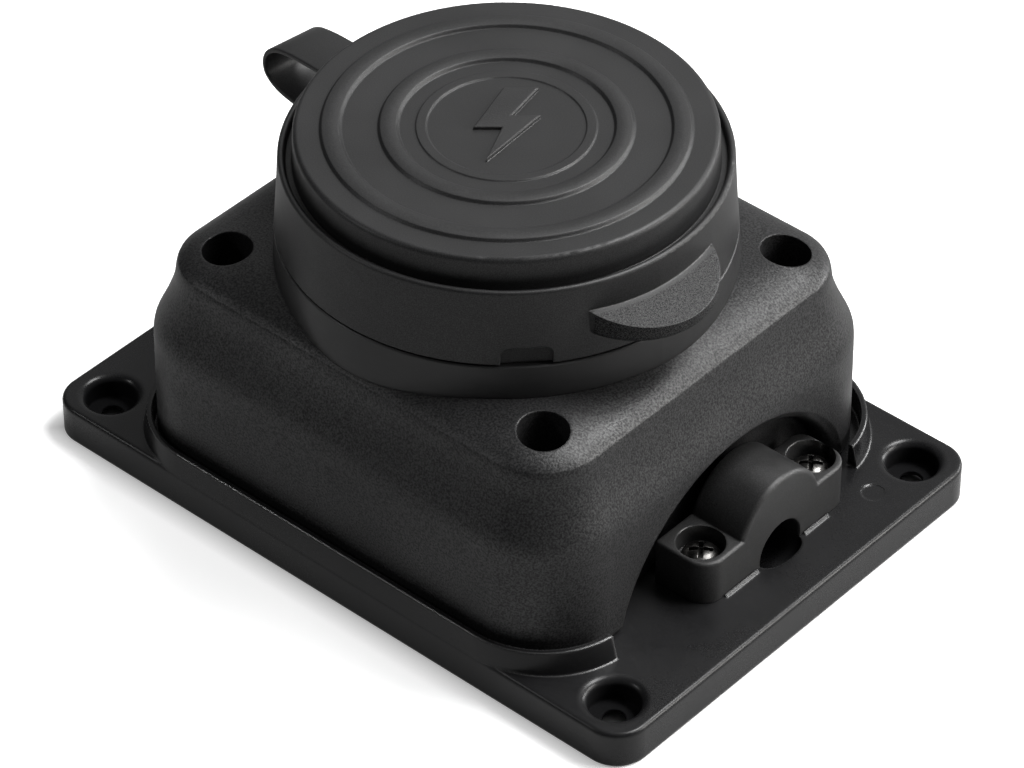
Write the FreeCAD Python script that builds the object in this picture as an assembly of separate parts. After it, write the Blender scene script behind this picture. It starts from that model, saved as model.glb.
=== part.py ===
import FreeCAD, Part
import os
import math
from FreeCAD import Vector as V

# Generator inlet box: a surface-mounted plastic box with a round collar, a flexible
# sealing cap, a four-blade locking inlet under the cap and a cable clamp on the +X end.
# Saved frame: origin at the centre of the back plate's underside (the wall face, z = 0),
# +X towards the cable clamp, +Z away from the wall. Millimetres. Pieces are drawn with
# the plate's centre at PLATE_X, PLATE_Y and moved when saved, so the plate is centred.

os.makedirs("parts", exist_ok=True)

# ---------------------------------------------------------------- shared sizes
PLATE_X, PLATE_Y = -0.85, 0.3                    # plate centre in the drawing frame
PLATE_L, PLATE_W, PLATE_T = 183.4, 131.2, 9.6
COLLAR_X = -1.2                                  # axis of the collar, cap and inlet; y = 0
CAP_TURN = -8.0                                  # the cap is turned on the collar, degrees

HOUSING_X, HOUSING_Y = -1.95, -0.22              # centre of the housing's outline
FOOT_Z = PLATE_T
SEAL_T = 1.2                                     # gasket under the housing foot
WALL = 3.0
FLOOR_Z = 66.0                                   # floor inside the collar
WELL_SEAT_Z = 20.0                               # under the heads of the housing screws
WELLS = [(COLLAR_X + sx * 49.2, sy * 43.1) for sx in (-1, 1) for sy in (-1, 1)]

CLAMP_Y = 8.8                                    # the clamp is off the centre line
CLAMP_X0, CLAMP_X1 = 60.6, 76.5
CLAMP_SEAT_Z = 16.4                              # under the heads of the clamp screws
CABLE_R, CABLE_Z = 7.2, 11.2
CLAMP_SCREWS = [(69.0, CLAMP_Y + side * 20.3) for side in (-1, 1)]

ARC = "arc"                                      # marks a path point as the middle of an arc


# ---------------------------------------------------------------- helpers
def on_xy(x, y):
    return V(x, y, 0)


def on_xz(x, z):
    return V(x, 0, z)


def path_edges(points, place=on_xy):
    """Lines and arcs through the points; one marked ARC is the middle of an arc."""
    edges = []
    i = 0
    while i < len(points) - 1:
        step = 2 if len(points[i + 1]) == 3 else 1
        spots = [place(*point[:2]) for point in points[i:i + step + 1]]
        edges.append(Part.Arc(*spots).toShape() if step == 2 else Part.makeLine(*spots))
        i += step
    return edges


def closed_wire(points, place=on_xy):
    return Part.Wire(path_edges(points + points[:1], place))


def spline(vectors):
    curve = Part.BSplineCurve()
    curve.interpolate(vectors)
    return curve


def polygon(vectors):
    return Part.Face(Part.makePolygon(vectors + vectors[:1]))


def rounded_wire(cx, half_x, half_y, radius, z, cy=0.0):
    """Rectangle with round corners, lying at height z."""
    x0, x1, y0, y1 = cx - half_x, cx + half_x, cy - half_y, cy + half_y
    inset = radius * (1 - math.sqrt(0.5))
    return closed_wire([
        (x0 + radius, y0), (x1 - radius, y0),
        (x1 - inset, y0 + inset, ARC), (x1, y0 + radius), (x1, y1 - radius),
        (x1 - inset, y1 - inset, ARC), (x1 - radius, y1), (x0 + radius, y1),
        (x0 + inset, y1 - inset, ARC), (x0, y1 - radius), (x0, y0 + radius),
        (x0 + inset, y0 + inset, ARC),
    ], lambda x, y: V(x, y, z))


def rounded_prism(cx, half_x, half_y, radius, z0, z1, cy=0.0):
    wire = rounded_wire(cx, half_x, half_y, radius, z0, cy)
    return Part.Face(wire).extrude(V(0, 0, z1 - z0))


def loft(wires, ruled=False):
    return Part.makeLoft(wires, True, ruled)


def cyl(radius, x, y, z0, z1):
    return Part.makeCylinder(radius, z1 - z0, V(x, y, z0))


def ring(outer_r, inner_r, x, y, z0, z1):
    return cyl(outer_r, x, y, z0, z1).cut(cyl(inner_r, x, y, z0 - 1, z1 + 1))


def xcyl(radius, x0, x1, y, z):
    return Part.makeCylinder(radius, x1 - x0, V(x0, y, z), V(1, 0, 0))


def box(x0, x1, y0, y1, z0, z1):
    return Part.makeBox(x1 - x0, y1 - y0, z1 - z0, V(x0, y0, z0))


def revolve(points, x=0.0, y=0.0):
    """Closed (radius, z) outline turned about the vertical line through x, y."""
    solid = Part.Face(closed_wire(points, on_xz)).revolve(V(0, 0, 0), V(0, 0, 1), 360)
    solid.translate(V(x, y, 0))
    return solid


def revolve_about_x(edges, y, z):
    """Closed (x, radius) outline turned about the line along X through y, z."""
    solid = Part.Face(Part.Wire(edges)).revolve(V(0, 0, 0), V(1, 0, 0), 360)
    solid.translate(V(0, y, z))
    return solid


def fuse(first, *others):
    for other in others:
        first = first.fuse(other)
    return first.removeSplitter()


def spin(shape, angle):
    """Turn the shape itself about the Z axis."""
    shape.rotate(V(0, 0, 0), V(0, 0, 1), angle)
    return shape


def on_collar(shape, turn=0.0):
    """Put a piece drawn about the Z axis on the collar's axis."""
    placed = spin(shape.copy(), turn) if turn else shape.copy()
    placed.translate(V(COLLAR_X, 0, 0))
    return placed


def edges_at(shape, z):
    return [e for e in shape.Edges
            if abs(e.BoundBox.ZMin - z) < 1e-6 and abs(e.BoundBox.ZMax - z) < 1e-6]


def pan_screw(x, y, seat, head_r, head_h, shank_r, length):
    """Pan-head screw with a cross recess, axis +Z, head resting on z = seat."""
    crown = head_h * 0.42
    top = seat + head_h
    head = revolve([(0, seat), (head_r, seat), (head_r, top - crown),
                    (head_r * 0.72, top - crown * 0.26, ARC), (0.0, top)])
    shank = cyl(shank_r, 0, 0, seat - length, seat + 0.2)
    tip = Part.makeCone(shank_r * 0.55, shank_r, 1.0, V(0, 0, seat - length - 1.0))
    screw = fuse(head, shank, tip)
    half_w, half_l, depth = head_r * 0.26 / 2, head_r * 1.25 / 2, head_h * 0.62
    slot_x = box(-half_l, half_l, -half_w, half_w, top - depth, top + 1)
    slot_y = box(-half_w, half_w, -half_l, half_l, top - depth, top + 1)
    screw = spin(screw.cut(slot_x.fuse(slot_y)), 38.0)
    screw.translate(V(x, y, 0))
    return screw


def save(name, shape):
    """Write one piece, or a list of like pieces, with the plate's centre at the origin."""
    moved = Part.makeCompound(shape) if isinstance(shape, list) else shape.copy()
    moved.translate(V(-PLATE_X, -PLATE_Y, 0))
    moved.exportStep("parts/%s.step" % name)


# ---------------------------------------------------------------- base plate
WALL_HOLES = [(PLATE_X + sx * 80.6, PLATE_Y + sy * 54.9) for sx in (-1, 1) for sy in (-1, 1)]
WALL_HOLE_R = 2.8
RIM_A, RIM_B, RIM_R = 71.5, 65.2, 24.0           # half length, half width, corner radius
RIM_Z, RIM_T = 15.7, 1.3
RIM_GAP = 44.0                                   # half width of the gap at the clamp
SCOOP_X = 74.0
# edge of the cable scoop: x, radius about the cable's axis
SCOOP_LIP = [(SCOOP_X, CABLE_R), (75.2, 7.4), (76.6, 7.4), (78.0, 6.6), (79.1, 4.9), (79.7, 2.3)]
# wall gasket groove: half length, half width, corner radius
GROOVE_OUTER = (64.5, 60.5, 14.0)
GROOVE_INNER = (61.5, 57.5, 11.0)


def plate_rim():
    """Low wall round the housing, open at the clamp."""
    rim = loft([rounded_wire(COLLAR_X, RIM_A + 2.6, RIM_B - 0.02, RIM_R + 1.0, PLATE_T - 2.0),
                rounded_wire(COLLAR_X, RIM_A + 1.6, RIM_B - 0.02, RIM_R + 0.6, PLATE_T),
                rounded_wire(COLLAR_X, RIM_A, RIM_B - 0.3, RIM_R, RIM_Z)], True)
    rim = rim.cut(rounded_prism(COLLAR_X, RIM_A - RIM_T, RIM_B - 0.3 - RIM_T, RIM_R - RIM_T,
                                PLATE_T, RIM_Z + 5))
    return rim.cut(box(40, 100, -RIM_GAP, RIM_GAP, PLATE_T, RIM_Z + 5))


def cable_scoop():
    """Rounded run-out of the cable trough on the +X side of the clamp."""
    edges = path_edges([(SCOOP_X, 0), (SCOOP_X, CABLE_R)])
    edges.append(spline([on_xy(*point) for point in SCOOP_LIP]).toShape())
    edges += path_edges([SCOOP_LIP[-1], (79.85, 1.15, ARC), (79.9, 0), (SCOOP_X, 0)])
    return revolve_about_x(edges, CLAMP_Y, CABLE_Z)


def clamp_ledge(y0, y1):
    """Low ledge along the +X face of the clamp."""
    section = [(0.15, -0.5), (1.1, -0.5), (0.95, 0), (0.35, 0.6), (0.15, 0.6)]
    face = polygon([V(CLAMP_X1 + x, y0, PLATE_T + z) for (x, z) in section])
    return face.extrude(V(0, y1 - y0, 0))


def wall_gasket_loop(gap, z0, z1):
    """Rounded loop that clears the groove's sides by gap."""
    outside = [size - gap for size in GROOVE_OUTER]
    inside = [size + gap for size in GROOVE_INNER]
    return rounded_prism(PLATE_X, *outside, z0, z1, PLATE_Y).cut(
        rounded_prism(PLATE_X, *inside, z0 - 1, 3, PLATE_Y))


def base_plate():
    plate = rounded_prism(PLATE_X, PLATE_L / 2, PLATE_W / 2, 8.4, 0, PLATE_T, PLATE_Y)
    plate = plate.makeFillet(1.1, edges_at(plate, PLATE_T))
    plate = fuse(plate, plate_rim())
    # wiring well in the middle, with a boss for each housing screw and two ribs across it
    plate = plate.cut(rounded_prism(-5.5, 57.0, 54.0, 14.0, 3.6, 40))
    for (x, y) in WELLS:
        plate = plate.fuse(cyl(6.4, x, y, 1.0, 15.8))
    for y in (-21.0, 21.0):
        plate = plate.fuse(box(-63.0, 52.0, y - 1.2, y + 1.2, 3.0, 8.0))
    plate = plate.removeSplitter()
    for (x, y) in WELLS:
        plate = plate.cut(cyl(3.0, x, y, 5.0, 20))
    # wall-screw holes: rounded mouth and head recess, clearance hole, relief at the back
    for (x, y) in WALL_HOLES:
        plate = plate.cut(revolve([(0, 3.6), (6.3, 3.6), (6.3, PLATE_T - 1.5),
                                   (6.92, PLATE_T - 0.6, ARC), (8.5, PLATE_T),
                                   (8.5, 12), (0, 12)], x, y))
        plate = plate.cut(cyl(WALL_HOLE_R, x, y, -1, 8))
        plate = plate.cut(cyl(6.6, x, y, -1, 2.6))
    # cable trough: wide up to the clamp, cable-sized under it, then the scoop
    plate = plate.cut(xcyl(8.5, 45, CLAMP_X0, CLAMP_Y, CABLE_Z))
    plate = plate.cut(xcyl(CABLE_R, CLAMP_X0 - 0.5, 74.1, CLAMP_Y, CABLE_Z))
    plate = plate.cut(cable_scoop())
    # a ledge on either side of the trough
    for (y0, y1) in ((-20.5, -8.6), (8.6, 17.5)):
        plate = plate.fuse(clamp_ledge(CLAMP_Y + y0, CLAMP_Y + y1))
    plate = plate.removeSplitter()
    # pockets for the clamp's inserts
    for (x, y) in CLAMP_SCREWS:
        plate = plate.cut(cyl(3.4, x, y, 2.3, 20))
    plate = plate.cut(wall_gasket_loop(0, -1, 1.8))
    # ejector-pin mark on the flange
    return plate.cut(cyl(2.9, 79.9, 39.9, PLATE_T - 0.15, PLATE_T + 1))


save("base_plate", base_plate())
save("wall_gasket", wall_gasket_loop(0.1, 0.0, 1.75))

# ---------------------------------------------------------------- housing
# outline sections: z, half length, half width, corner radius
FOOT = (FOOT_Z, 68.28, 61.6, 20.4)
SHOULDER = [
    (40.0, 67.93, 61.25, 20.10),
    (43.0, 67.55, 60.86, 19.80),
    (46.0, 66.42, 59.70, 18.95),
    (49.0, 65.12, 58.37, 18.00),
    (52.0, 64.02, 57.23, 17.17),
    (55.0, 63.13, 56.31, 16.50),
    (58.0, 62.60, 55.77, 16.10),
    (60.9, 62.00, 55.15, 15.65),
]
# pillowed top: z, inset from the top shoulder section
CROWN = [(60.9, 0.0), (61.85, 1.2), (62.8, 2.9), (63.6, 4.9), (64.3, 7.3), (64.8, 10.0),
         (65.0, 13.0)]
# underside of the top: z, inset from the inner wall
CEILING = [(58.0, 0.0), (59.6, 2.6), (60.6, 5.2), (61.2, 8.0)]
ALCOVE_X = 57.6
ALCOVE_END_X = 67.6
# flared mouth of the alcove: x, radius
ALCOVE_FLARE = [(62.4, 39.8), (63.8, 40.1), (65.0, 40.8), (65.8, 41.9), (66.6, 44.3),
                (ALCOVE_END_X, 50.0)]
COLLAR_TOP = 89.4
INLET_SCREW_ANGLES = (45, 135, 225, 315)
INLET_SCREWS_LOCAL = [(35.6 * math.cos(math.radians(angle)), 35.6 * math.sin(math.radians(angle)))
                      for angle in INLET_SCREW_ANGLES]
INLET_SCREWS = [(COLLAR_X + x, y) for (x, y) in INLET_SCREWS_LOCAL]


def housing_section(section, inset=0.0, z=None):
    """Outline of a section, drawn in by inset and moved to z if that is given."""
    section_z, half_x, half_y, radius = section
    return rounded_wire(HOUSING_X, half_x - inset, half_y - inset, radius - inset,
                        section_z if z is None else z, HOUSING_Y)


def alcove(grow):
    """Round-arched recess in the +X wall that the cable clamp stands in, grown by grow."""
    back = ALCOVE_X - grow
    flare = [(x, radius + grow) for (x, radius) in ALCOVE_FLARE]
    edges = path_edges([(back, 0), (back, 38.2 + grow), (back + 0.45, 39.25 + grow, ARC),
                        (back + 1.5, 39.7 + grow), flare[0]])
    edges.append(spline([on_xy(*point) for point in flare]).toShape())
    edges += path_edges([flare[-1], (ALCOVE_END_X, 0), (back, 0)])
    return revolve_about_x(edges, 5.0, -1.0)


def housing_outside():
    outside = loft([housing_section(FOOT), housing_section(SHOULDER[0])], True)
    outside = outside.fuse(loft([housing_section(section) for section in SHOULDER]))
    outside = outside.fuse(loft([housing_section(SHOULDER[-1], inset, z) for (z, inset) in CROWN]))
    return outside.cut(alcove(0.0))


def housing_inside():
    inside = loft([housing_section(FOOT, WALL, FOOT_Z - 1),
                   housing_section(SHOULDER[0], WALL)], True)
    inside = inside.fuse(loft([housing_section(section, WALL) for section in SHOULDER[:-1]]))
    inside = inside.fuse(loft([housing_section(SHOULDER[-2], WALL + inset, z)
                               for (z, inset) in CEILING], True))
    return inside.cut(alcove(WALL))


def housing_body(outside):
    """Housing down to the plate, before the gasket's thickness is taken off its foot."""
    body = outside.cut(housing_inside())
    for (x, y) in WELLS:
        body = body.fuse(cyl(8.1, x, y, 15.9, 61.4))
    # collar that the cap closes on, and the floor inside it
    body = body.fuse(revolve([
        (0, 60.4), (51.9, 60.4), (51.9, 73.8), (51.3, 74.4), (50.0, 88.8), (49.4, COLLAR_TOP),
        (48.1, COLLAR_TOP), (47.5, 88.8), (47.5, FLOOR_Z), (0, FLOOR_Z)], COLLAR_X, 0))
    # bosses for the inlet screws under that floor
    for (x, y) in INLET_SCREWS:
        body = body.fuse(cyl(5.2, x, y, 55.5, 61.4))
    body = body.removeSplitter()
    # deep wells and clearance holes for the housing screws
    for (x, y) in WELLS:
        body = body.cut(cyl(6.1, x, y, WELL_SEAT_Z, 70))
        body = body.cut(cyl(2.3, x, y, 10, 25))
    # opening for the inlet and pockets for its inserts
    body = body.cut(cyl(30.0, COLLAR_X, 0, 50, 70))
    for (x, y) in INLET_SCREWS:
        body = body.cut(cyl(2.9, x, y, 57.5, 70))
    # cable entry through the back of the alcove
    return body.cut(xcyl(8.6, 50, 62, CLAMP_Y, CABLE_Z))


def housing_gasket(body):
    """Slice of the body's foot, trimmed to just inside the outline."""
    gasket = body.common(box(-120, 120, -100, 100, FOOT_Z, FOOT_Z + SEAL_T))
    return gasket.common(rounded_prism(HOUSING_X, 67.7, 61.0, 19.9,
                                       FOOT_Z, FOOT_Z + SEAL_T, HOUSING_Y))


outside = housing_outside()
body = housing_body(outside)
save("housing", body.cut(box(-120, 120, -100, 100, 0, FOOT_Z + SEAL_T)))
save("housing_gasket", housing_gasket(body))
save("housing_screws", [pan_screw(x, y, WELL_SEAT_Z, head_r=4.0, head_h=3.0, shank_r=1.95,
                                  length=11.5) for (x, y) in WELLS])
save("housing_inserts", [ring(2.98, 2.02, x, y, 6.0, 15.7) for (x, y) in WELLS])

# ---------------------------------------------------------------- cable clamp
SADDLE_Z = PLATE_T + 0.1
SADDLE_Y0, SADDLE_Y1 = CLAMP_Y - 27.0, CLAMP_Y + 26.2
EAR_Z = 21.8
ARCH_R, ARCH_Z = 14.6, 17.8


def saddle_ears():
    """Flat slab that carries both screws; each corner has its own radius."""
    x0, x1, y0, y1 = CLAMP_X0, CLAMP_X1, SADDLE_Y0, SADDLE_Y1
    wire = closed_wire([
        (x0, y0 + 0.8), (x0, y1 - 4), (x0 + 1.17, y1 - 1.17, ARC), (x0 + 4, y1),
        (x1 - 5.5, y1), (x1 - 1.61, y1 - 1.61, ARC), (x1, y1 - 5.5),
        (x1, y0 + 5.5), (x1 - 1.61, y0 + 1.61, ARC), (x1 - 5.5, y0),
        (x0 + 0.8, y0), (x0 + 0.23, y0 + 0.23, ARC),
    ], lambda x, y: V(x, y, SADDLE_Z))
    ears = Part.Face(wire).extrude(V(0, 0, EAR_Z - SADDLE_Z))
    return ears.makeFillet(0.7, edges_at(ears, EAR_Z))


def saddle_arch():
    arch = xcyl(ARCH_R, CLAMP_X0, CLAMP_X1, CLAMP_Y, ARCH_Z)
    arch = arch.makeFillet(1.2, [e for e in arch.Edges if e.BoundBox.XLength < 1e-6])
    arch = arch.common(box(0, 200, -100, 100, ARCH_Z, 100))
    return arch.fuse(box(CLAMP_X0 + 0.6, CLAMP_X1 - 0.02, CLAMP_Y - ARCH_R, CLAMP_Y + ARCH_R,
                         SADDLE_Z, ARCH_Z))


def cable_clamp_saddle():
    saddle = fuse(saddle_ears(), saddle_arch())
    bore = xcyl(CABLE_R, CLAMP_X0 - 2, CLAMP_X1 + 2, CLAMP_Y, CABLE_Z)
    bore = bore.fuse(box(CLAMP_X0 - 2, CLAMP_X1 + 2, CLAMP_Y - CABLE_R, CLAMP_Y + CABLE_R,
                         0, CABLE_Z))
    mouth = Part.makeCone(CABLE_R, CABLE_R + 0.35, 0.6,
                          V(CLAMP_X1 - 0.5, CLAMP_Y, CABLE_Z), V(1, 0, 0))
    saddle = saddle.cut(bore).cut(mouth).removeSplitter()
    for (x, y) in CLAMP_SCREWS:
        saddle = saddle.cut(cyl(5.9, x, y, CLAMP_SEAT_Z, 26))
        saddle = saddle.cut(cyl(2.8, x, y, 0, 20))
    return saddle


save("cable_clamp_saddle", cable_clamp_saddle())
save("clamp_screws", [pan_screw(x, y, CLAMP_SEAT_Z, head_r=4.55, head_h=3.4, shank_r=2.4,
                                length=12.6) for (x, y) in CLAMP_SCREWS])
save("clamp_inserts", [ring(3.38, 2.47, x, y, 2.4, 9.7) for (x, y) in CLAMP_SCREWS])

# ---------------------------------------------------------------- cap, band and strap
# All are drawn about the Z axis and turned by CAP_TURN when placed.
CAP_Z = 100.8
EMBLEM_ANGLE, NOTCH_ANGLE = 41.5, -43.6          # as they lie on the finished box
# lightning bolt: x, y before it is turned
BOLT = [(-0.8, 13.6), (-7.6, -1.4), (-1.0, -1.4), (-4.6, -13.6), (7.8, 3.0), (1.2, 3.0),
        (7.4, 13.6)]
TAB_X, TAB_R, TAB_Z, TAB_H = 44.7, 19.4, 79.7, 7.2
NOTCH_Z = 79.0
STRAP_T, STRAP_Y0, STRAP_W = 1.3, -7.6, 14.0
STRAP_STEPS = 36
# middle line of the strap from the cap's skirt out and back to the band: x, z
STRAP_LINE = [(-52.0, 86.35), (-58.0, 85.95), (-65.0, 85.2), (-71.0, 84.35), (-76.4, 82.9),
              (-80.0, 80.3), (-81.5, 76.9), (-80.8, 73.8), (-77.8, 71.8), (-73.0, 70.95),
              (-64.0, 70.9), (-52.0, 70.9)]


def cap_band(outside):
    """Band round the collar; its lower edge follows the pillowed top."""
    band = on_collar(revolve([(52.0, 61.0), (54.75, 61.0), (54.7, 65.0), (54.5, 70.0),
                              (54.3, 73.6), (54.0, 73.9), (52.0, 73.9)]), CAP_TURN)
    seat = outside.copy()
    seat.translate(V(0, 0, 0.06))
    return max(band.cut(seat).Solids, key=lambda solid: solid.Volume)


def cap_bead(mid_r, half_w):
    """Profile points of a raised ring on the cap's top."""
    return [(mid_r - half_w, CAP_Z), (mid_r - half_w + 0.65, CAP_Z + 0.75),
            (mid_r, CAP_Z + 1.0, ARC),
            (mid_r + half_w - 0.65, CAP_Z + 0.75), (mid_r + half_w, CAP_Z)]


def cap_shell():
    top = [(0.0, CAP_Z), (18.3, CAP_Z), (18.55, CAP_Z + 0.3), (20.75, CAP_Z + 0.3), (21.0, CAP_Z)]
    rounded_edge = [(48.0, CAP_Z), (48.92, CAP_Z - 0.38, ARC), (49.3, CAP_Z - 1.3)]
    skirt = [(49.6, 92.3), (51.0, 92.3), (51.3, 93.9), (52.0, 94.3, ARC), (52.9, 93.6),
             (53.5, 84.0), (54.2, 74.6), (53.7, 74.1), (52.0, 74.1), (51.05, 90.6)]
    underside = [(45.2, 90.6), (44.6, 97.2), (0.0, 97.2)]
    return revolve(top + cap_bead(27.2, 2.5) + cap_bead(40.5, 2.6) + rounded_edge + skirt
                   + underside)


def bolt_emblem():
    angle = math.radians(EMBLEM_ANGLE - CAP_TURN)
    cosine, sine = math.cos(angle), math.sin(angle)
    face = polygon([V(x * cosine - y * sine, x * sine + y * cosine, CAP_Z - 0.2)
                    for (x, y) in BOLT])
    return face.extrude(V(0, 0, 0.85))


def finger_tab():
    """Crescent on the +X side that slopes down away from the skirt."""
    tab = Part.makeCylinder(TAB_R, TAB_H, V(TAB_X, 0, TAB_Z))
    tab = tab.makeFillet(2.4, edges_at(tab, TAB_Z))
    above = polygon([V(40, -40, 89.2), V(40, -40, 100), V(80, -40, 100), V(80, -40, 80.6)])
    tab = tab.cut(above.extrude(V(0, 80, 0)))
    # the sloping brim may be too tight to round; the tab then keeps its sharp edge
    try:
        brim = [e for e in tab.Edges if e.BoundBox.ZMax < 88.0
                and e.BoundBox.YLength > 20 and e.BoundBox.ZLength > 1.0]
        tab = tab.makeFillet(0.9, brim)
    except Exception:
        pass
    return tab.cut(cyl(53.0, 0, 0, 70, 100))


def drain_notch():
    """Round-cornered cutter for the skirt's lower edge."""
    notch = box(52.7, 60, -6.0, 6.0, 70, NOTCH_Z)
    notch = notch.makeFillet(2.0, [e for e in edges_at(notch, NOTCH_Z) if e.BoundBox.XLength > 5])
    return spin(notch, NOTCH_ANGLE - CAP_TURN)


def sealing_cap():
    cap = cap_shell().fuse(bolt_emblem())
    cap = fuse(cap, finger_tab())
    return on_collar(cap.cut(drain_notch()), CAP_TURN)


def hinge_strap():
    """Flat loop on the -X side, offset both ways from its middle line."""
    middle = spline([on_xz(*point) for point in STRAP_LINE])
    first, last = middle.FirstParameter, middle.LastParameter
    left, right = [], []
    for i in range(STRAP_STEPS + 1):
        parameter = first + (last - first) * i / STRAP_STEPS
        point, tangent = middle.value(parameter), middle.tangent(parameter)[0]
        normal = V(tangent.z, 0, -tangent.x)
        left.append(point + normal * (STRAP_T / 2))
        right.append(point - normal * (STRAP_T / 2))
    edges = [spline(left).toShape(), Part.makeLine(left[-1], right[-1]),
             spline(right).toShape(), Part.makeLine(right[0], left[0])]
    strap = Part.Face(Part.Wire(Part.__sortEdges__(edges))).extrude(V(0, STRAP_W, 0))
    strap.translate(V(0, STRAP_Y0, 0))
    # trim the ends to the outside of the band and the skirt
    strap = strap.cut(revolve([(0, 60), (54.77, 60), (54.75, 65.0), (54.55, 70.0), (54.35, 73.6),
                               (54.25, 74.4), (53.5, 84.0), (52.9, 93.6), (0, 93.6)]))
    return on_collar(strap, CAP_TURN)


save("cap_band", cap_band(outside))
save("sealing_cap", sealing_cap())
save("cap_seal_ring", on_collar(ring(50.1, 46.3, 0, 0, 89.5, 90.55), CAP_TURN))
save("hinge_strap", hinge_strap())

# ---------------------------------------------------------------- the inlet
# Drawn about the Z axis and moved to the collar's axis.
FLANGE_Z = FLOOR_Z + 1.2                         # on top of the inlet gasket
FLANGE_T = 3.0
BLADE_R, BLADE_T = 14.2, 1.7                     # middle radius and thickness of the blades
TERMINAL_Z = 48.5                                # axis of the terminal screws
# name, angle round the axis, angle spanned, has a hook at one end
BLADES = [("line_blade_x", 180.0, 42.0, False), ("line_blade_y", 0.0, 42.0, False),
          ("neutral_blade", 270.0, 48.0, False), ("ground_blade", 90.0, 42.0, True)]
BLADE_ANGLES = [angle for (_, angle, _, _) in BLADES]


def cut_screw_holes(shape):
    for (x, y) in INLET_SCREWS_LOCAL:
        shape = shape.cut(cyl(2.2, x, y, 60, 75))
    return shape


def inlet_shell():
    flange_top = FLANGE_Z + FLANGE_T
    shell = cut_screw_holes(revolve([
        (30.0, FLANGE_Z), (40.5, FLANGE_Z), (40.5, FLANGE_Z + 2.2), (39.7, flange_top),
        (31.4, flange_top), (30.6, FLANGE_Z + 3.8), (30.6, 85.4), (30.0, 86.0), (28.6, 86.0),
        (28.0, 85.4), (28.0, 68.2), (26.6, 66.9), (26.6, 38.0), (29.0, 38.0),
        (29.0, FLANGE_Z - 0.4), (30.0, FLANGE_Z - 0.2)]))
    # polarising key inside the shroud
    return fuse(shell, box(-2.0, 2.0, 26.9, 28.6, 68.5, 84.0))


def blade(angle, span, hooked, top=85.0, grow=0.0):
    """Curved blade, or with grow the cutter for its slot."""
    outer_r, inner_r = BLADE_R + BLADE_T / 2 + grow, BLADE_R - BLADE_T / 2 - grow
    metal = ring(outer_r, inner_r, 0, 0, 44.0, top)
    half = math.radians(span / 2.0) + grow / BLADE_R
    far_x, far_y = 60 * math.cos(half), 60 * math.sin(half)
    sector = polygon([V(0, 0, 40), V(far_x, -far_y, 40), V(far_x, far_y, 40)])
    metal = metal.common(sector.extrude(V(0, 0, 60)))
    if hooked:
        hook = box(BLADE_R - 4.2 - grow, BLADE_R + 0.3 + grow,
                   -BLADE_T / 2 - grow, BLADE_T / 2 + grow, 57.5 - grow, top)
        metal = fuse(metal, spin(hook, span / 2.0 - 4.0))
    return spin(metal, angle)


def drilled_blade(angle, span, hooked):
    """Blade with a hole for the terminal screw through its tail."""
    x, y = math.cos(math.radians(angle)), math.sin(math.radians(angle))
    hole = Part.makeCylinder(2.1, 20, V(5 * x, 5 * y, TERMINAL_Z), V(x, y, 0))
    return blade(angle, span, hooked).cut(hole)


def inlet_face():
    """Insulating face with a slot for each blade."""
    face = cyl(26.5, 0, 0, 56.0, 66.8)
    face = face.makeFillet(0.6, edges_at(face, 66.8))
    for (_, angle, span, hooked) in BLADES:
        face = face.cut(blade(angle, span, hooked, top=90.0, grow=0.06))
    return face.cut(cyl(1.95, 0, 0, 55, 63))


def terminal_block():
    """Block with a wiring pocket for each blade."""
    block = cyl(26.4, 0, 0, 39.0, 55.9)
    for angle in BLADE_ANGLES:
        pocket = box(8.4, 26.9, -6.9, 6.9, 42.0, 54.0)
        pocket = pocket.fuse(box(9.0, 19.4, -6.9, 6.9, 38.0, 57.0))
        block = block.cut(spin(pocket, angle))
    return block.cut(cyl(2.3, 0, 0, 30, 60))


def block_screw():
    """Slotted screw along the inlet's axis, head towards the wall."""
    screw = fuse(cyl(4.0, 0, 0, 36.0, 38.9), cyl(1.9, 0, 0, 38.8, 61.0))
    return screw.cut(box(-3.4, 3.4, -0.5, 0.5, 35, 37.3))


def terminal_clamp(angle):
    clamp = box(9.2, 12.2, -4.6, 4.6, 43.0, 54.0)
    clamp = clamp.cut(xcyl(1.62, 0, 20, 0, TERMINAL_Z))
    return on_collar(spin(clamp, angle))


def terminal_screw(angle):
    """Radial screw with a slotted head facing outwards."""
    screw = xcyl(1.6, 9.6, 23.6, 0, TERMINAL_Z).fuse(xcyl(3.5, 19.6, 22.2, 0, TERMINAL_Z))
    screw = screw.common(box(0, 22.2, -10, 10, 30, 70)).removeSplitter()
    screw = screw.cut(box(21.2, 23, -0.5, 0.5, 44, 53))
    return on_collar(spin(screw, angle))


save("inlet_gasket", on_collar(cut_screw_holes(ring(40.0, 30.2, 0, 0, FLOOR_Z, FLANGE_Z))))
save("inlet_shell", on_collar(inlet_shell()))
save("inlet_screws", [pan_screw(x, y, FLANGE_Z + FLANGE_T, head_r=3.6, head_h=2.6, shank_r=1.95,
                                length=11.0) for (x, y) in INLET_SCREWS])
save("inlet_inserts", [ring(2.88, 2.02, x, y, 57.6, 65.9) for (x, y) in INLET_SCREWS])
save("inlet_face", on_collar(inlet_face()))
save("terminal_block", on_collar(terminal_block()))
save("block_screw", on_collar(block_screw()))
for (name, angle, span, hooked) in BLADES:
    save(name, on_collar(drilled_blade(angle, span, hooked)))
save("terminal_clamps", [terminal_clamp(angle) for angle in BLADE_ANGLES])
save("terminal_screws", [terminal_screw(angle) for angle in BLADE_ANGLES])
# stepped ring under the block, at the inner end of the shell
save("block_retainer", on_collar(fuse(ring(26.3, 21.5, 0, 0, 37.0, 38.0),
                                      ring(28.9, 26.0, 0, 0, 36.6, 37.9))))
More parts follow.
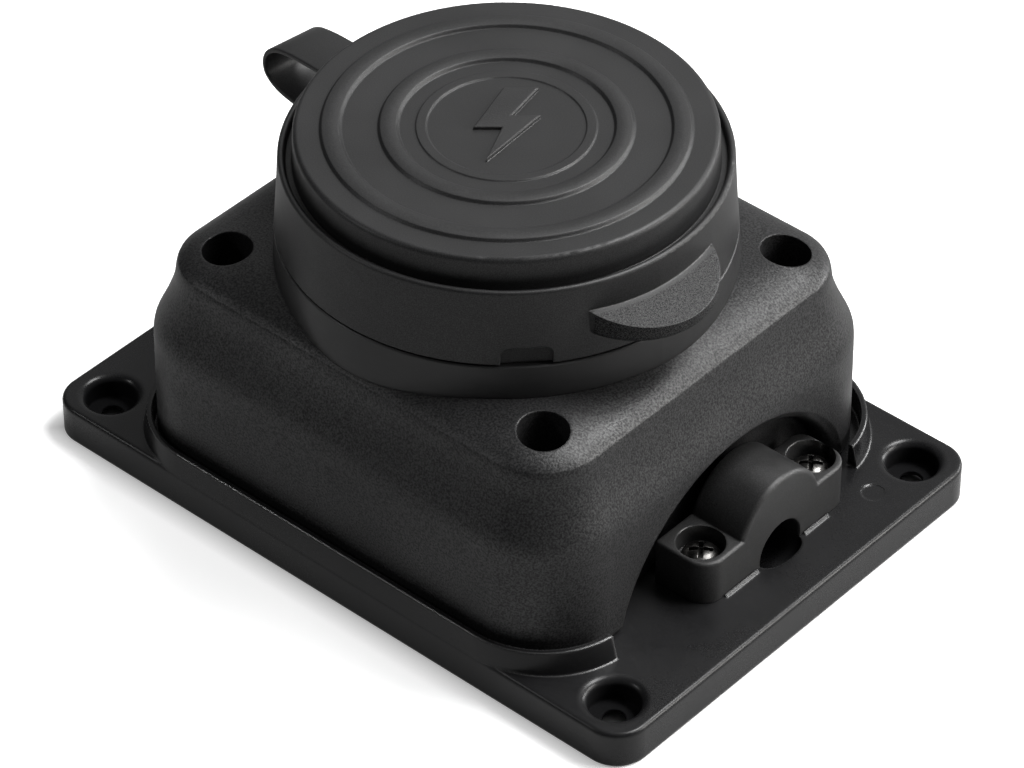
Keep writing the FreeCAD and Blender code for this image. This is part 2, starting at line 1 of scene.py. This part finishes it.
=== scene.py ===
# A black wall-mounted power inlet: a base plate carrying a housing, a cable clamp and
# a rubber sealing cap that hangs on a looped hinge strap.
# The plate lies on the floor around the origin, long side along X, with +Z away from the
# wall. The strap is on the -X side of the cap and the cap's lifting tab on the +X side.
# Materials and stage are in metres; the strap and emblem are drawn in millimetres.
import bpy
import bmesh
import math
from mathutils import Vector, Matrix

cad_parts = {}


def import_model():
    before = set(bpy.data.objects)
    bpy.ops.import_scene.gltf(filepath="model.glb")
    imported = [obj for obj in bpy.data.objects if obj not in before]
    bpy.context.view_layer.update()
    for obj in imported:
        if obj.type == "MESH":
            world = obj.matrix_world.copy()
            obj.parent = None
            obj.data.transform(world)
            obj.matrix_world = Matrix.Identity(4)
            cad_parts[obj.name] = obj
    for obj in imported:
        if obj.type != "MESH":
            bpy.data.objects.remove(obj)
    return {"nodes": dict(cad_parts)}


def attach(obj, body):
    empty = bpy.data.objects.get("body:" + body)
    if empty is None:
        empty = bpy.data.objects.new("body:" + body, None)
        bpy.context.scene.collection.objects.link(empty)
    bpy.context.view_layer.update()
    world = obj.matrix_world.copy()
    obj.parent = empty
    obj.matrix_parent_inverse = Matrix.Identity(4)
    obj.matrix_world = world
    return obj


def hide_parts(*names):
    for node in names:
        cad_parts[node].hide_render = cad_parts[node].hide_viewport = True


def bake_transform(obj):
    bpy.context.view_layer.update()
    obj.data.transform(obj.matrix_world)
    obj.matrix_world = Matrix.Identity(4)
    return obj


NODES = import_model()["nodes"]
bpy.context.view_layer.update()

# The cap frame stands on the collar's axis and is turned about it (mm)
DRAWING_SHIFT = Vector((0.85, -0.3, 0.0))   # drawing frame to row frame
COLLAR_X = -1.2                             # collar axis in the drawing frame
CAP_TURN = math.radians(-8.0)
CAP_TOP = 100.8


# ---------------------------------------------------------------- shader graph
class Graph:
    """Adds nodes to one shader tree. Inputs may be sockets, numbers or RGB tuples."""

    def __init__(self, tree):
        self.tree = tree

    def node(self, kind, **settings):
        made = self.tree.nodes.new(kind)
        for key, value in settings.items():
            setattr(made, key, value)
        return made

    def feed(self, socket, value):
        if isinstance(value, (int, float)):
            socket.default_value = value
        elif isinstance(value, tuple):
            socket.default_value = (*value, 1.0)
        else:
            self.tree.links.new(value, socket)

    def coords(self):
        return self.node("ShaderNodeTexCoord").outputs["Object"]

    def noise(self, coords, scale, detail=3.0, rough=0.55, distortion=0.0):
        made = self.node("ShaderNodeTexNoise")
        made.inputs["Scale"].default_value = scale
        made.inputs["Detail"].default_value = detail
        made.inputs["Roughness"].default_value = rough
        made.inputs["Distortion"].default_value = distortion
        self.feed(made.inputs["Vector"], coords)
        return made.outputs["Fac"]

    def remap(self, value, span, to=(0.0, 1.0)):
        """Map the span of input values to the given ones, clamped at both ends."""
        made = self.node("ShaderNodeMapRange")
        made.inputs["From Min"].default_value = span[0]
        made.inputs["From Max"].default_value = span[1]
        made.inputs["To Min"].default_value = to[0]
        made.inputs["To Max"].default_value = to[1]
        self.feed(made.inputs["Value"], value)
        return made.outputs["Result"]

    def swing(self, value, span, amount, middle=0.0):
        return self.remap(value, span, to=(middle - amount, middle + amount))

    def calc(self, operation, first, second=0.0):
        made = self.node("ShaderNodeMath", operation=operation)
        self.feed(made.inputs[0], first)
        self.feed(made.inputs[1], second)
        return made.outputs[0]

    def add(self, first, second):
        return self.calc("ADD", first, second)

    def subtract(self, first, second):
        return self.calc("SUBTRACT", first, second)

    def multiply(self, first, second):
        return self.calc("MULTIPLY", first, second)

    def length(self, x, y):
        return self.calc("SQRT", self.add(self.multiply(x, x), self.multiply(y, y)))

    def separate(self, vector):
        made = self.node("ShaderNodeSeparateXYZ")
        self.feed(made.inputs[0], vector)
        return made.outputs

    def mix(self, factor, first, second):
        made = self.node("ShaderNodeMix", data_type="RGBA")
        self.feed(made.inputs[0], factor)
        self.feed(made.inputs[6], first)
        self.feed(made.inputs[7], second)
        return made.outputs[2]

    def edges(self, radius, samples=4):
        """Edge mask (how far the rounded normal leans from the plain one) and that normal."""
        bevel = self.node("ShaderNodeBevel", samples=samples)
        bevel.inputs["Radius"].default_value = radius
        geometry = self.node("ShaderNodeNewGeometry")
        dot = self.node("ShaderNodeVectorMath", operation="DOT_PRODUCT")
        self.feed(dot.inputs[0], bevel.outputs[0])
        self.feed(dot.inputs[1], geometry.outputs["Normal"])
        lean = self.subtract(1.0, dot.outputs["Value"])
        return self.remap(lean, span=(0.01, 0.16)), bevel.outputs[0]

    def bump(self, height, normal, strength, distance):
        made = self.node("ShaderNodeBump")
        made.inputs["Strength"].default_value = strength
        made.inputs["Distance"].default_value = distance
        self.feed(made.inputs["Height"], height)
        self.feed(made.inputs["Normal"], normal)
        return made.outputs[0]


def new_material(name):
    material = bpy.data.materials.new(name)
    material.use_nodes = True
    graph = Graph(material.node_tree)
    graph.tree.nodes.clear()
    output = graph.node("ShaderNodeOutputMaterial")
    bsdf = graph.node("ShaderNodeBsdfPrincipled")
    graph.feed(output.inputs[0], bsdf.outputs[0])
    return material, graph, bsdf.inputs


def shade(color, gain, lift=0.0):
    return tuple(min(1, part * gain + lift) for part in color)


# ---------------------------------------------------------------- material kinds
def plastic(name, base, wear_and_highlight, rough, grain=0.00028, grain_depth=0.000012, grain_amount=1.0,
            mottle=0.35, rough_var=0.08, bevel=0.0004, spec=0.5, orange_peel=0.0,
            zone=None, zone_rough=0.0, zone_grain=0.0, zone_spec=0.0,
            edge_spec=0.0, edge_polish=0.07, edge_samples=4, least_wear_and_highlight=0.15,
            grain_spec=0.0, painted_top_sheen=0.0):
    """Moulded plastic or rubber: surface grain, patchy roughness and paler edges, which are
    wear and, on the base plate, also a painted highlight.

    grain is the grain's size and bevel the width of the paler edges. zone builds a mask, and
    the zone_ values are added inside it. painted_top_sheen paints a sheen onto faces that look
    up.
    """
    material, g, inputs = new_material(name)
    coords = g.coords()
    fine = g.noise(coords, scale=1.0 / grain, detail=2.0, rough=0.6)
    medium = g.noise(coords, scale=1.0 / (grain * 5.5), rough=0.6)
    patches = g.noise(coords, scale=42.0, detail=4.0, distortion=0.3)
    broad = g.noise(coords, scale=9.0, rough=0.5)
    edge, rounded = g.edges(bevel, edge_samples)
    mask = zone(g, coords) if zone else None
    if zone_rough > 0.2:                    # no paler edges in a very rough zone, such as the painted shade of the screw recesses
        edge = g.multiply(edge, g.remap(mask, span=(0.0, 1.0), to=(1.0, 0.0)))

    # Colour: mottled base, specked by the grain, paler at the edges from wear and, on the base
    # plate, from a painted highlight
    color = g.mix(g.remap(patches, span=(0.32, 0.70)),
                  shade(base, gain=1 - 0.30 * mottle), shade(base, gain=1 + 0.42 * mottle))
    specks = g.remap(fine, span=(0.50, 0.78), to=(0.0, 0.5 * grain_amount))
    color = g.mix(specks, color, shade(base, gain=1.7, lift=0.004))
    worn = g.multiply(edge, g.remap(medium, span=(0.30, 0.72), to=(least_wear_and_highlight, 0.75)))
    g.feed(inputs["Base Color"], g.mix(worn, color, wear_and_highlight))

    # Roughness: varies with patches and grain, lower on polished edges
    dull = g.add(g.swing(patches, span=(0.3, 0.7), amount=rough_var, middle=rough),
                 g.swing(fine, span=(0.3, 0.7), amount=0.05 * grain_amount))
    dull = g.add(dull, g.swing(broad, span=(0.35, 0.65), amount=0.03))
    dull = g.subtract(dull, g.multiply(edge, edge_polish))

    # Shine: specked by the grain, raised on edges as a painted highlight, raised on upward
    # faces as a painted sheen, changed in the zone
    shine = g.swing(fine, span=(0.36, 0.64), amount=grain_spec, middle=spec)
    shine = g.add(shine, g.multiply(edge, edge_spec))
    # painted sheen: faces that look up get more shine
    if painted_top_sheen:
        normal = g.separate(g.node("ShaderNodeNewGeometry").outputs["Normal"])
        shine = g.add(shine, g.remap(normal[2], span=(0.75, 0.98), to=(0.0, painted_top_sheen)))
    if zone:
        dull = g.add(dull, g.multiply(mask, zone_rough))
        shine = g.add(shine, g.multiply(mask, zone_spec))
        specks = g.swing(fine, span=(0.36, 0.64), amount=0.06 * zone_grain)
        shine = g.add(shine, g.multiply(mask, specks))
    g.feed(inputs["Specular IOR Level"], g.calc("MAXIMUM", shine, 0.02))
    g.feed(inputs["Roughness"], dull)

    # Relief: two sizes of grain and, if asked for, a soft orange-peel ripple
    height = g.add(g.multiply(fine, grain_amount), g.multiply(medium, 0.55 * grain_amount))
    if orange_peel:
        ripple = g.noise(coords, scale=330.0, detail=2.0, rough=0.5)
        height = g.add(height, g.multiply(ripple, orange_peel))
    if zone:
        height = g.multiply(height, g.remap(mask, span=(0.0, 1.0), to=(1.0, 1.0 + zone_grain)))
    g.feed(inputs["Normal"], g.bump(height, rounded, strength=1.0, distance=grain_depth))
    return material


def metal(name, base, worn, rough, stretch=(1, 1, 1), dirt=(0.02, 0.018, 0.016)):
    """Plated or bare metal: fine lines, dirty dull patches and brighter edges."""
    material, g, inputs = new_material(name)
    coords = g.coords()
    mapping = g.node("ShaderNodeMapping")
    mapping.inputs["Scale"].default_value = stretch
    g.feed(mapping.inputs["Vector"], coords)
    lines = g.noise(mapping.outputs[0], scale=900.0, rough=0.6)
    patches = g.noise(coords, scale=260.0, detail=4.0, rough=0.6, distortion=0.4)
    edge, rounded = g.edges(radius=0.00025)
    color = g.mix(g.remap(patches, span=(0.38, 0.72), to=(0.0, 0.35)), base, dirt)
    g.feed(inputs["Base Color"], g.mix(g.multiply(edge, 0.6), color, worn))
    inputs["Metallic"].default_value = 1.0
    dull = g.add(g.remap(patches, span=(0.3, 0.7), to=(rough - 0.06, rough + 0.14)),
                 g.swing(lines, span=(0.3, 0.7), amount=0.05))
    g.feed(inputs["Roughness"], dull)
    g.feed(inputs["Normal"], g.bump(lines, rounded, strength=0.6, distance=0.000012))
    return material


def screw_pit_shade(g, coords):
    """Mask of the four wall-screw recesses, rough inside and darkened with painted shade:
    little shine and no paler edges.
    """
    pit_x, pit_y = 0.0806, 0.0549           # centre of each recess, mirrored in X and Y
    mirrored = g.node("ShaderNodeVectorMath", operation="ABSOLUTE")
    g.feed(mirrored.inputs[0], coords)
    place = g.separate(mirrored.outputs[0])
    away = g.length(g.subtract(place[0], pit_x), g.subtract(place[1], pit_y))
    near = g.remap(away, span=(0.0098, 0.0102), to=(1.0, 0.0))
    deep = g.remap(place[2], span=(0.0080, 0.0090), to=(1.0, 0.0))
    return g.multiply(near, deep)


def lift_tab(g, coords):
    """Mask of the cap's lifting tab, beyond the cap's rim on +X, with a rougher grain."""
    place = g.separate(coords)
    x = g.add(place[0], -(COLLAR_X + DRAWING_SHIFT.x) / 1000)
    y = g.add(place[1], -DRAWING_SHIFT.y / 1000)
    beyond = g.remap(g.length(x, y), span=(0.0543, 0.0549))
    return g.multiply(beyond, g.remap(x, span=(0.0, 0.01)))


# ---------------------------------------------------------------- the materials
# The plate's paler, shinier edges are partly wear and partly a painted highlight along its
# edges.
base_black = plastic(
    "base_black", base=(0.0090, 0.0090, 0.0096), wear_and_highlight=(0.060, 0.060, 0.061), rough=0.29,
    grain=0.00045, grain_depth=0.000005, grain_amount=0.7, orange_peel=1.3, bevel=0.0010,
    # the screw-pit zone paints shade into the recesses: rougher, much less shine, no paler
    # edges
    rough_var=0.06, zone=screw_pit_shade, zone_rough=0.45, zone_spec=-0.40, spec=0.30,
    edge_spec=0.78, edge_polish=0.08, edge_samples=8, least_wear_and_highlight=0.45)
housing_black = plastic(
    "housing_black", base=(0.0115, 0.0115, 0.0121), wear_and_highlight=(0.034, 0.034, 0.035), rough=0.45,
    grain=0.00050, grain_depth=0.000070, bevel=0.0006, grain_spec=0.26)
clamp_black = plastic(
    "clamp_black", base=(0.022, 0.022, 0.0223), wear_and_highlight=(0.060, 0.060, 0.060), rough=0.40,
    grain=0.00034, orange_peel=0.8, bevel=0.0007, edge_spec=0.5, grain_spec=0.10)
cap_rubber = plastic(
    "cap_rubber", base=(0.0125, 0.0125, 0.0130), wear_and_highlight=(0.040, 0.040, 0.041), rough=0.45,
    grain_depth=0.000008, grain_amount=0.7, bevel=0.0005, rough_var=0.05, zone=lift_tab,
    zone_rough=0.08, zone_grain=5.0, zone_spec=-0.16, edge_spec=0.25, grain_spec=0.12,
    # painted_top_sheen is a painted sheen on the cap's upward faces
    spec=0.42, painted_top_sheen=0.26)
band_rubber = plastic(
    "band_rubber", base=(0.0120, 0.0120, 0.0125), wear_and_highlight=(0.034, 0.034, 0.035), rough=0.46,
    grain=0.00026, grain_depth=0.000010)
seal_rubber = plastic("seal_rubber", base=(0.010, 0.010, 0.010), wear_and_highlight=(0.02, 0.02, 0.02),
                      rough=0.62, grain=0.0003)
gasket_rubber = plastic("gasket_rubber", base=(0.013, 0.013, 0.013), wear_and_highlight=(0.03, 0.03, 0.03),
                        rough=0.70, grain=0.0004, grain_depth=0.00002)
gasket_foam = plastic("gasket_foam", base=(0.030, 0.030, 0.031), wear_and_highlight=(0.05, 0.05, 0.05),
                      rough=0.85, grain=0.0006, grain_depth=0.00006)
inlet_nylon = plastic("inlet_nylon", base=(0.016, 0.016, 0.017), wear_and_highlight=(0.05, 0.05, 0.05),
                      rough=0.42, grain=0.0003)
face_white = plastic("inlet_face_white", base=(0.62, 0.61, 0.57), wear_and_highlight=(0.75, 0.74, 0.70),
                     rough=0.42, grain=0.0004, mottle=0.15)
block_black = plastic("terminal_block_black", base=(0.03, 0.03, 0.032),
                      wear_and_highlight=(0.07, 0.07, 0.07), rough=0.5, grain=0.0004)
black_zinc = metal("screw_black_zinc", base=(0.115, 0.112, 0.108), worn=(0.42, 0.41, 0.40),
                   rough=0.24)
insert_brass = metal("insert_brass", base=(0.66, 0.47, 0.19), worn=(0.85, 0.68, 0.38),
                     rough=0.32, dirt=(0.16, 0.10, 0.04))
blade_brass = metal("blade_brass", base=(0.78, 0.56, 0.24), worn=(0.92, 0.76, 0.46),
                    rough=0.22, stretch=(1, 1, 0.08), dirt=(0.35, 0.22, 0.09))
nickel = metal("neutral_nickel", base=(0.66, 0.65, 0.62), worn=(0.9, 0.89, 0.86),
               rough=0.22, stretch=(1, 1, 0.08), dirt=(0.3, 0.28, 0.25))
zinc_steel = metal("zinc_steel", base=(0.52, 0.52, 0.53), worn=(0.8, 0.8, 0.8),
                   rough=0.33, dirt=(0.2, 0.19, 0.18))

PIECES_BY_MATERIAL = (
    (base_black, ("base_plate",)),
    (housing_black, ("housing",)),
    (clamp_black, ("cable_clamp_saddle",)),
    (cap_rubber, ("sealing_cap", "hinge_strap")),
    (band_rubber, ("cap_band",)),
    (seal_rubber, ("cap_seal_ring",)),
    (gasket_rubber, ("housing_gasket", "inlet_gasket")),
    (gasket_foam, ("wall_gasket",)),
    (inlet_nylon, ("inlet_shell",)),
    (face_white, ("inlet_face",)),
    (block_black, ("terminal_block",)),
    (black_zinc, ("housing_screws", "clamp_screws")),
    (insert_brass, ("housing_inserts", "clamp_inserts", "inlet_inserts")),
    (blade_brass, ("line_blade_x", "line_blade_y", "ground_blade")),
    (nickel, ("neutral_blade",)),
    (zinc_steel, ("inlet_screws", "block_screw", "terminal_clamps", "terminal_screws",
                  "block_retainer")),
)
MATERIAL_OF = {piece: material for material, pieces in PIECES_BY_MATERIAL for piece in pieces}
for piece, node in NODES.items():
    node.data.materials.clear()
    node.data.materials.append(MATERIAL_OF[piece])


# ---------------------------------------------------------------- mesh helpers
def rotate(x, y, angle):
    cos, sin = math.cos(angle), math.sin(angle)
    return x * cos - y * sin, x * sin + y * cos


def from_cap(x, y, z):
    """Cap frame (mm) to the row frame (m)."""
    x, y = rotate(x, y, CAP_TURN)
    return Vector((x + COLLAR_X + DRAWING_SHIFT.x, y + DRAWING_SHIFT.y, z)) / 1000.0


def bridge(bm, rings):
    """Join each closed ring of vertices to the next with quads."""
    for ring, after in zip(rings, rings[1:]):
        count = len(ring)
        for i in range(count):
            j = (i + 1) % count
            bm.faces.new((ring[i], ring[j], after[j], after[i]))


def add_object(name, bm, material):
    bmesh.ops.recalc_face_normals(bm, faces=bm.faces[:])
    mesh = bpy.data.meshes.new(name)
    bm.to_mesh(mesh)
    bm.free()
    made = bpy.data.objects.new(name, mesh)
    bpy.context.scene.collection.objects.link(made)
    mesh.materials.append(material)
    return made


def link_object(name, data):
    made = bpy.data.objects.new(name, data)
    bpy.context.scene.collection.objects.link(made)
    return made


# ---------------------------------------------------------------- hinge strap (mm)
STRAP_THICK, STRAP_WIDTH = 1.3, 14.0
STRAP_LOW_Y = -7.6              # the strap's edge on the -Y side
STRAP_CORNER = 0.42             # radius of its long edges
STRAP_CROWN = 0.10              # rise along the middle of its outer face
ROOT_STEPS = 12.0               # path steps over which each end thickens
# Middle line of the loop, x and z in the cap frame, from the upper root to the lower
STRAP_PATH = [
    (-52.9, 86.25), (-58.0, 85.95), (-65.0, 85.2), (-71.0, 84.35),
    (-76.4, 82.9), (-80.0, 80.3), (-81.5, 76.9), (-80.8, 73.8),
    (-77.8, 71.8), (-73.0, 70.95), (-64.0, 70.9), (-53.6, 70.9),
]


def catmull(points, steps):
    """Catmull-Rom curve through the points, with the given steps per span."""
    points = [Vector(point) for point in points]
    points = [points[0] * 2 - points[1]] + points + [points[-1] * 2 - points[-2]]
    curve = []
    for i in range(1, len(points) - 2):
        before, start, end, after = points[i - 1:i + 3]
        for k in range(steps):
            t = k / steps
            curve.append(0.5 * (2 * start + (end - before) * t
                                + (2 * before - 5 * start + 4 * end - after) * t * t
                                + (3 * start - before - 3 * end + after) * t ** 3))
    curve.append(points[-2])
    return curve


def strap_section(root):
    """Rounded, crowned section as (across, outward); root is 1 at an end of the strap."""
    half_thick = STRAP_THICK / 2 * (1 + 0.35 * root * root)
    half_width = STRAP_WIDTH / 2 * (1 + 0.05 * root * root)
    section = []
    for side, face, first_angle in ((1, 1, 0), (-1, 1, 90), (-1, -1, 180), (1, -1, 270)):
        for k in range(5):
            angle = math.radians(first_angle + 22.5 * k)
            across = side * (half_width - STRAP_CORNER) + STRAP_CORNER * math.cos(angle)
            out = face * (half_thick - STRAP_CORNER) + STRAP_CORNER * math.sin(angle)
            if out > 0:
                out += STRAP_CROWN * (1 - min(1.0, abs(across) / half_width) ** 2)
            section.append((across, out))
    return section


def build_strap():
    path = catmull(STRAP_PATH, steps=10)
    last = len(path) - 1
    bm = bmesh.new()
    rings = []
    for i, point in enumerate(path):
        along = (path[min(i + 1, last)] - path[max(i - 1, 0)]).normalized()
        normal = Vector((along.y, -along.x))        # outwards from the loop
        root = max(0.0, 1.0 - min(i, last - i) / ROOT_STEPS)
        rings.append([
            bm.verts.new(from_cap(point.x + normal.x * out,
                                  STRAP_LOW_Y + STRAP_WIDTH / 2 + across,
                                  point.y + normal.y * out))
            for across, out in strap_section(root)])
    bridge(bm, rings)
    bm.faces.new(rings[0][::-1])
    bm.faces.new(rings[-1])
    strap = add_object("hinge_strap_soft", bm, cap_rubber)
    for face in strap.data.polygons:
        face.use_smooth = True
    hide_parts("hinge_strap")
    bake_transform(strap)


# ---------------------------------------------------------------- cap emblem (mm)
EMBLEM_TURN = math.radians(41.5) - CAP_TURN
# Lightning bolt outline, x and y, counterclockwise
BOLT = [(-0.8, 13.6), (-7.6, -1.4), (-1.0, -1.4), (-4.6, -13.6),
        (7.8, 3.0), (1.2, 3.0), (7.4, 13.6)]
BOLT_TRIANGLES = ((0, 1, 2), (0, 2, 5), (0, 5, 6), (2, 3, 4), (2, 4, 5))
# Inset of the outline and height above the cap's top, rising to a rounded edge
BOLT_LAYERS = ((-0.05, -0.1), (-0.05, 0.62), (0.06, 0.80), (0.22, 0.90), (0.45, 0.93))


def inset(outline, distance):
    moved = []
    for i in range(len(outline)):
        before, corner, after = (Vector(outline[k % len(outline)]) for k in (i - 1, i, i + 1))
        come, leave = (corner - before).normalized(), (after - corner).normalized()
        normal_in, normal_out = Vector((-come.y, come.x)), Vector((-leave.y, leave.x))
        miter = (normal_in + normal_out) / max(0.35, (1 + normal_in.dot(normal_out)))
        moved.append(corner + miter * distance)
    return moved


def build_emblem():
    bm = bmesh.new()
    layers = [[bm.verts.new(from_cap(*rotate(point.x, point.y, EMBLEM_TURN), CAP_TOP + height))
               for point in inset(BOLT, distance)]
              for distance, height in BOLT_LAYERS]
    bridge(bm, layers)
    for triangle in BOLT_TRIANGLES:
        bm.faces.new([layers[-1][k] for k in triangle])
        bm.faces.new([layers[0][k] for k in reversed(triangle)])
    rough = plastic("emblem_rough", base=(0.020, 0.020, 0.0205), wear_and_highlight=(0.05, 0.05, 0.05),
                    rough=0.55, grain=0.00042, grain_depth=0.00005, grain_amount=1.2,
                    bevel=0.0003, mottle=0.6)
    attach(add_object("cap_emblem", bm, rough), "cap")


# ---------------------------------------------------------------- stage (m)
def build_floor():
    """A floor that glows like a light table, but not under the plate."""
    glow_x, glow_y = 0.086, 0.060           # half sizes of the dark area
    bpy.ops.mesh.primitive_plane_add(size=6.0, location=(0, 0, -0.0004))
    floor = bpy.context.object
    floor.name = "stage_floor"
    material, g, inputs = new_material("stage_white")
    inputs["Roughness"].default_value = 0.8
    inputs["Specular IOR Level"].default_value = 0.2
    inputs["Emission Color"].default_value = (1, 1, 1, 1)
    place = g.separate(g.node("ShaderNodeNewGeometry").outputs["Position"])
    past_x = g.subtract(g.calc("ABSOLUTE", place[0]), glow_x)
    past_y = g.subtract(g.calc("ABSOLUTE", place[1]), glow_y)
    outside = g.remap(g.calc("MAXIMUM", past_x, past_y), span=(0.0, 0.012))
    path = g.node("ShaderNodeLightPath")
    camera, glossy = path.outputs["Is Camera Ray"], path.outputs["Is Glossy Ray"]
    # Reflections see only a ring of glow, which puts a sheen on the plate's sides
    ring = g.remap(g.calc("MAXIMUM", past_x, past_y), span=(0.018, 0.030), to=(0.30, 0.0))
    seen = g.add(g.remap(camera, span=(0.0, 1.0), to=(0.01, 0.74)), g.multiply(glossy, ring))
    g.feed(inputs["Emission Strength"], g.multiply(outside, seen))
    # Paler to the camera than to other rays, darkest in reflections
    unseen = g.mix(glossy, (0.58, 0.58, 0.58), (0.40, 0.40, 0.40))
    g.feed(inputs["Base Color"], g.mix(camera, unseen, (0.80, 0.80, 0.80)))
    floor.data.materials.append(material)


def build_world():
    """Soft light from high on the +Y side, and a pale backdrop to the camera."""
    world = bpy.data.worlds.new("studio")
    bpy.context.scene.world = world
    world.use_nodes = True
    g = Graph(world.node_tree)
    background = g.tree.nodes["Background"].inputs
    background[0].default_value = (1.0, 1.0, 1.0, 1)
    facing = g.node("ShaderNodeVectorMath", operation="DOT_PRODUCT")
    g.feed(facing.inputs[0], g.node("ShaderNodeTexCoord").outputs["Generated"])
    facing.inputs[1].default_value = (0.12, 0.74, 0.66)
    glow = g.remap(facing.outputs["Value"], span=(0.2, 0.9), to=(0.05, 0.52))
    camera = g.node("ShaderNodeLightPath").outputs["Is Camera Ray"]
    g.feed(background[1], g.calc("MAXIMUM", glow, g.multiply(camera, 0.86)))


def area(name, at, aim_z, size, power, color=(1, 1, 1), size_y=None):
    """Area light aimed at height aim_z on the Z axis, with its long side level."""
    light = bpy.data.lights.new(name, "AREA")
    light.energy = power
    light.color = color
    light.size = size
    if size_y:
        light.shape = "RECTANGLE"
        light.size_y = size_y
    lamp = link_object(name, light)
    lamp.location = at
    lamp.rotation_mode = "QUATERNION"
    aim = Vector((0, 0, aim_z)) - Vector(at)
    lamp.rotation_quaternion = aim.to_track_quat("-Z", "Y")


def build_camera():
    """Long lens on the +X, -Y side, looking down at the inlet."""
    azimuth, elevation = math.radians(41.48), math.radians(40.25)
    back = Vector((math.sin(azimuth) * math.cos(elevation),
                   -math.cos(azimuth) * math.cos(elevation), math.sin(elevation)))
    right = Vector((math.cos(azimuth), math.sin(azimuth), 0))
    data = bpy.data.cameras.new("view")
    data.sensor_width = 36.0
    data.lens = 173.2496484
    data.clip_start, data.clip_end = 0.05, 20
    camera = link_object("view", data)
    bpy.context.scene.camera = camera
    turn = Matrix((right, back.cross(right), back)).transposed().to_4x4()
    camera.matrix_world = Matrix.Translation(Vector((0.59773, -0.67488, 0.78639))) @ turn


build_strap()
build_emblem()
build_floor()
build_world()
area("key_back", at=(0.39, 0.66, 1.50), aim_z=0.05, size=0.70, power=25.0, size_y=0.55)
area("key_right", at=(1.15, 0.85, 0.72), aim_z=0.04, size=0.6, power=14.0,
     color=(1.0, 0.98, 0.95))
area("low_back", at=(0.55, 1.35, 0.42), aim_z=0.05, size=0.7, power=9.0, size_y=0.35)
area("strip_left", at=(-0.66, -0.84, 0.74), aim_z=0.02, size=0.14, power=1.5)
build_camera()
bpy.context.scene.view_settings.view_transform = "Standard"
